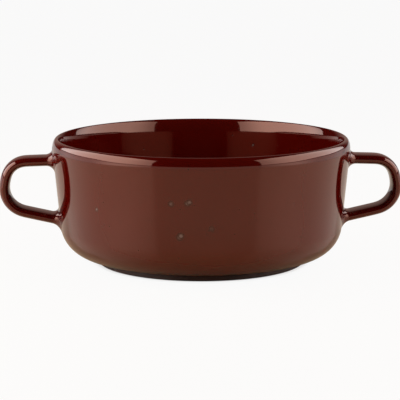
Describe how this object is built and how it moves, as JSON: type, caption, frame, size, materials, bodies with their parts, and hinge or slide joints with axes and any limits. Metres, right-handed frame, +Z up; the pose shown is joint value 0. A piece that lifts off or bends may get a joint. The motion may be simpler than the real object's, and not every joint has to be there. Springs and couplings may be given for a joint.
{
  "type": "lug soup bowl",
  "caption": "Round, steep-walled glazed stoneware soup bowl on a low foot ring, with looped strap handles luted to opposite sides for carrying hot soup.",
  "frame": {"origin": "centre of the foot ring's underside, on the table", "axes": "+Z up along the bowl's turning axis, X through both handles, +Y away from the side that the picture shows"},
  "size_m": [0.2038, 0.15, 0.063],
  "materials": {
    "glaze": "glossy red-brown glaze with sparse iron specks",
    "glazed_slip": "slip under the same glossy red-brown glaze",
    "bare_clay": "matt bare stoneware, dark brown"
  },
  "bodies": {
    "root": {"bowl_body": "glaze", "foot_ring": "bare_clay", "left_handle": "glaze", "right_handle": "glaze", "left_upper_slip_joint": "glazed_slip", "left_lower_slip_joint": "glazed_slip", "right_upper_slip_joint": "glazed_slip", "right_lower_slip_joint": "glazed_slip"}
  },
  "joints": []
}
